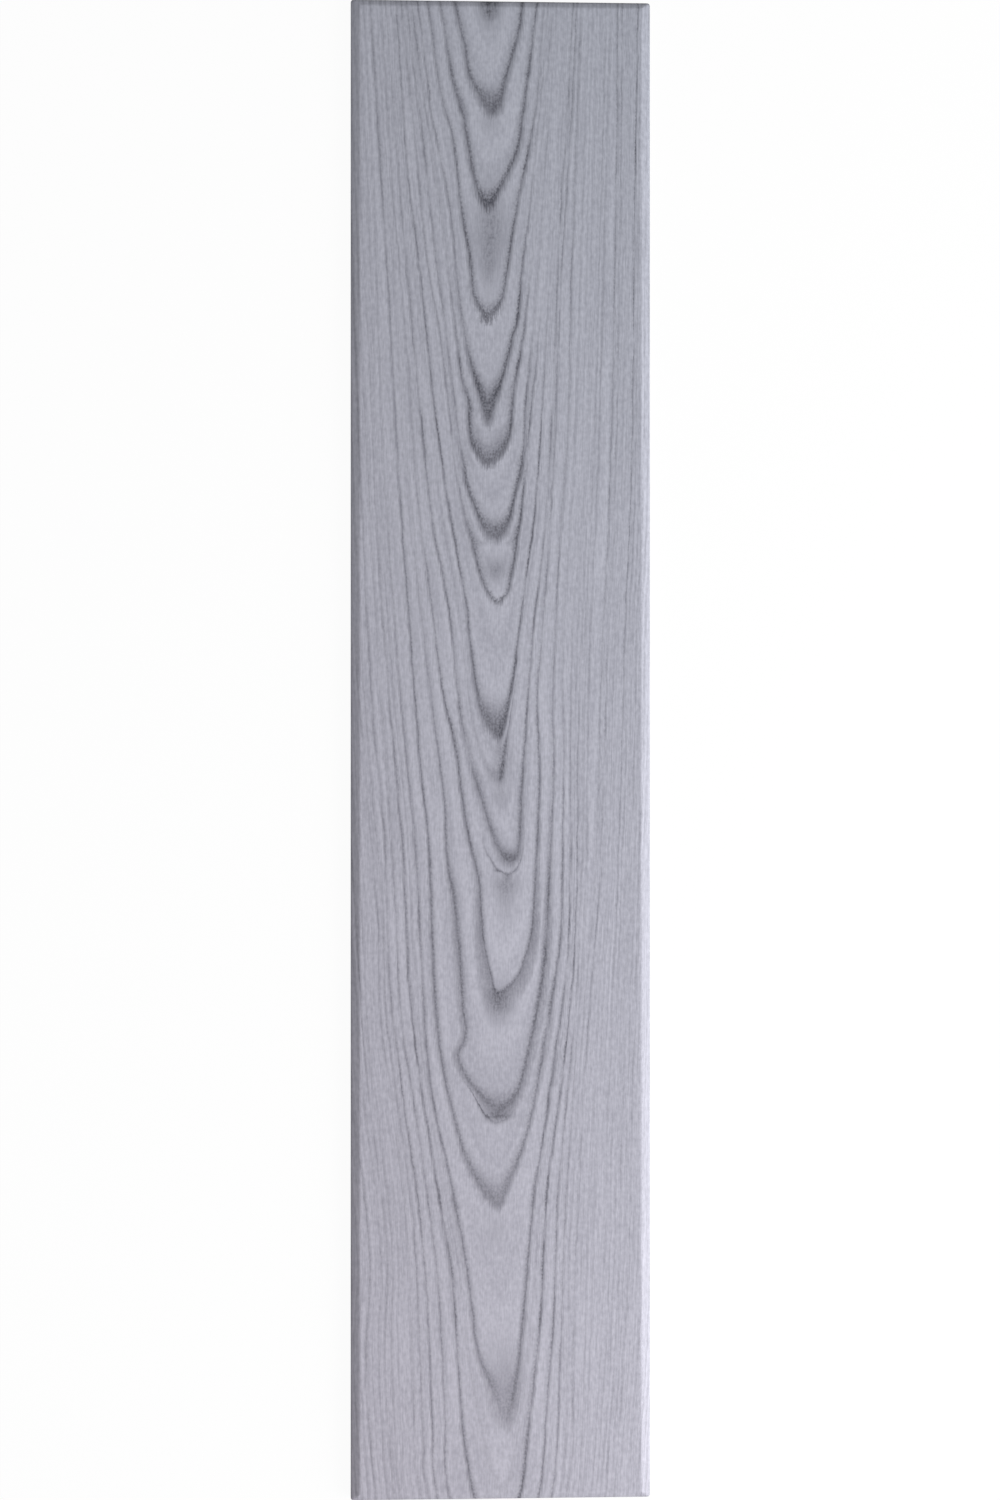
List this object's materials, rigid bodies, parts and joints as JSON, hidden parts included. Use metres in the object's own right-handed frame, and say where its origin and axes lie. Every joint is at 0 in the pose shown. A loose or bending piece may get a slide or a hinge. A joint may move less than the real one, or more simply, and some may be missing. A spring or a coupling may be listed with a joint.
{
  "type": "foam ceiling plank",
  "caption": "Flat glue-up foam ceiling plank with a grey wood-grain face, bevelled face edges, square butt edges and a flat back.",
  "frame": {"origin": "middle of the back, the side that is glued to the ceiling", "axes": "+X across the plank, +Y along its length, +Z out of its printed face; the plank lies on its back"},
  "size_m": [0.2, 1, 0.01],
  "materials": {
    "printed_foam": "polystyrene foam, face and bevels printed with a grey wood grain under a satin coat"
  },
  "bodies": {
    "root": {"plank": "printed_foam"}
  },
  "joints": []
}
